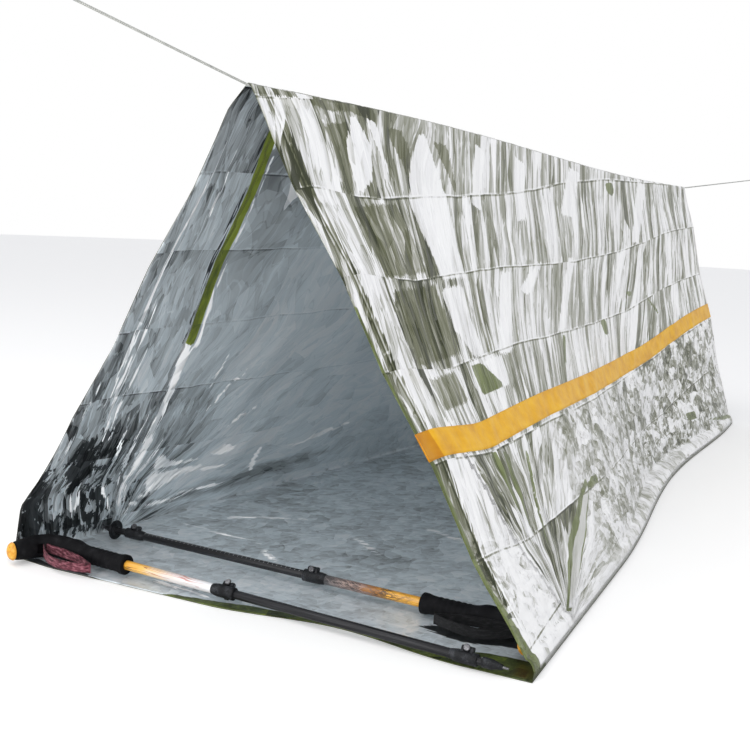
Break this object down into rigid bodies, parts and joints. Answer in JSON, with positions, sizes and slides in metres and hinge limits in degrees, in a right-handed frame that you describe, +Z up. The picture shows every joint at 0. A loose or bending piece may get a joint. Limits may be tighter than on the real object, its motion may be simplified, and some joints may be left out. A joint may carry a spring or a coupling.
{
  "type": "emergency tent",
  "caption": "Pitched emergency tube tent of metallised film on a ridge cord, its mouth spread by two telescoping trekking poles.",
  "frame": {"origin": "middle of the tube and poles on the ground, under the middle of their box", "axes": "+Z up, +Y along the ridge from the mouth to the rear end, +X to the right seen from the mouth"},
  "size_m": [1.055, 4.2026, 0.9995],
  "materials": {
    "film": "crinkled vapour-deposited aluminium on polymer film",
    "tape": "orange adhesive cloth tape",
    "cord": "pale grey braided cord",
    "grip_foam": "black closed-cell foam",
    "grip_cap": "orange moulded plastic",
    "tube_yellow": "yellow lacquer fading along the tube",
    "tube_black": "black anodised",
    "lock_plastic": "black moulded plastic",
    "steel": "plain steel",
    "strap_red": "dusky red webbing",
    "strap_black": "black webbing"
  },
  "bodies": {
    "tent": {"film_tube": "film", "orange_band": "tape", "ridge_cord": "cord", "front_guy_cord": "cord", "rear_guy_cord": "cord", "front_end_knot": "cord", "front_end_loop": "cord", "rear_end_knot": "cord", "rear_end_loop": "cord"},
    "front_pole": {"front_pole_grip": "grip_foam", "front_pole_grip_cap": "grip_cap", "front_pole_strap_pin": "steel", "front_pole_upper_tube": "tube_yellow", "front_pole_upper_lock_sleeve": "lock_plastic", "front_pole_upper_lock_pin": "steel", "front_pole_upper_lock_screw": "steel"},
    "front_strap": {"front_pole_wrist_strap": "strap_red"},
    "front_upper_lever": {"front_pole_upper_lock_lever": "lock_plastic"},
    "front_middle": {"front_pole_middle_tube": "tube_black", "front_pole_lower_lock_sleeve": "lock_plastic", "front_pole_lower_lock_pin": "steel", "front_pole_lower_lock_screw": "steel"},
    "front_lower_lever": {"front_pole_lower_lock_lever": "lock_plastic"},
    "front_lower": {"front_pole_lower_tube": "tube_black", "front_pole_ferrule": "lock_plastic", "front_pole_carbide_tip": "steel"},
    "rear_pole": {"rear_pole_grip": "grip_foam", "rear_pole_grip_cap": "grip_cap", "rear_pole_strap_pin": "steel", "rear_pole_upper_tube": "tube_yellow", "rear_pole_upper_lock_sleeve": "lock_plastic", "rear_pole_upper_lock_pin": "steel", "rear_pole_upper_lock_screw": "steel"},
    "rear_strap": {"rear_pole_wrist_strap": "strap_black"},
    "rear_upper_lever": {"rear_pole_upper_lock_lever": "lock_plastic"},
    "rear_middle": {"rear_pole_middle_tube": "tube_black", "rear_pole_lower_lock_sleeve": "lock_plastic", "rear_pole_lower_lock_pin": "steel", "rear_pole_lower_lock_screw": "steel"},
    "rear_lower_lever": {"rear_pole_lower_lock_lever": "lock_plastic"},
    "rear_lower": {"rear_pole_lower_tube": "tube_black", "rear_pole_ferrule": "lock_plastic", "rear_pole_carbide_tip": "steel", "rear_pole_basket": "lock_plastic"}
  },
  "joints": [
    {"name": "front_pole_slide", "type": "slide", "parent": "tent", "child": "front_pole", "axis": [0, -1, 0], "range_m": [0, 0.4]},
    {"name": "front_strap_swing", "type": "hinge", "parent": "front_pole", "child": "front_strap", "pos_m": [-0.45902, -1.16344, 0.02604], "axis": [-0.0108, 0.0006, -0.9999], "range_deg": [0, 30]},
    {"name": "front_upper_lever_swing", "type": "hinge", "parent": "front_pole", "child": "front_upper_lever", "pos_m": [-0.04461, -1.15388, 0.03147], "axis": [0.9985, -0.0541, -0.0108], "range_deg": [0, 90]},
    {"name": "front_lower_lever_swing", "type": "hinge", "parent": "front_middle", "child": "front_lower_lever", "pos_m": [0.41746, -1.1836, 0.02885], "axis": [0.9985, -0.0541, -0.0108], "range_deg": [0, 90]},
    {"name": "front_middle_slide", "type": "slide", "parent": "front_pole", "child": "front_middle", "axis": [-0.9985, 0.0541, 0.0108], "range_m": [0, 0.335]},
    {"name": "front_lower_slide", "type": "slide", "parent": "front_middle", "child": "front_lower", "axis": [0.9985, -0.0541, -0.0108], "range_m": [-0.006, 0.35]},
    {"name": "rear_pole_slide", "type": "slide", "parent": "tent", "child": "rear_pole", "axis": [0, -1, 0], "range_m": [0, 0.03]},
    {"name": "rear_strap_swing", "type": "hinge", "parent": "rear_pole", "child": "rear_strap", "pos_m": [0.46225, -1.0641, 0.02567], "axis": [-0.0045, 0.0003, 1], "range_deg": [0, 20]},
    {"name": "rear_upper_lever_swing", "type": "hinge", "parent": "rear_pole", "child": "rear_upper_lever", "pos_m": [0.05106, -1.01679, 0.03897], "axis": [0.9982, -0.0593, 0.0045], "range_deg": [0, 90]},
    {"name": "rear_lower_lever_swing", "type": "hinge", "parent": "rear_middle", "child": "rear_lower_lever", "pos_m": [-0.37691, -0.98693, 0.03416], "axis": [0.9982, -0.0593, 0.0045], "range_deg": [0, 90]},
    {"name": "rear_middle_slide", "type": "slide", "parent": "rear_pole", "child": "rear_middle", "axis": [0.9982, -0.0593, 0.0045], "range_m": [0, 0.3]},
    {"name": "rear_lower_slide", "type": "slide", "parent": "rear_middle", "child": "rear_lower", "axis": [-0.9982, 0.0593, -0.0045], "range_m": [-0.021, 0.006]}
  ]
}
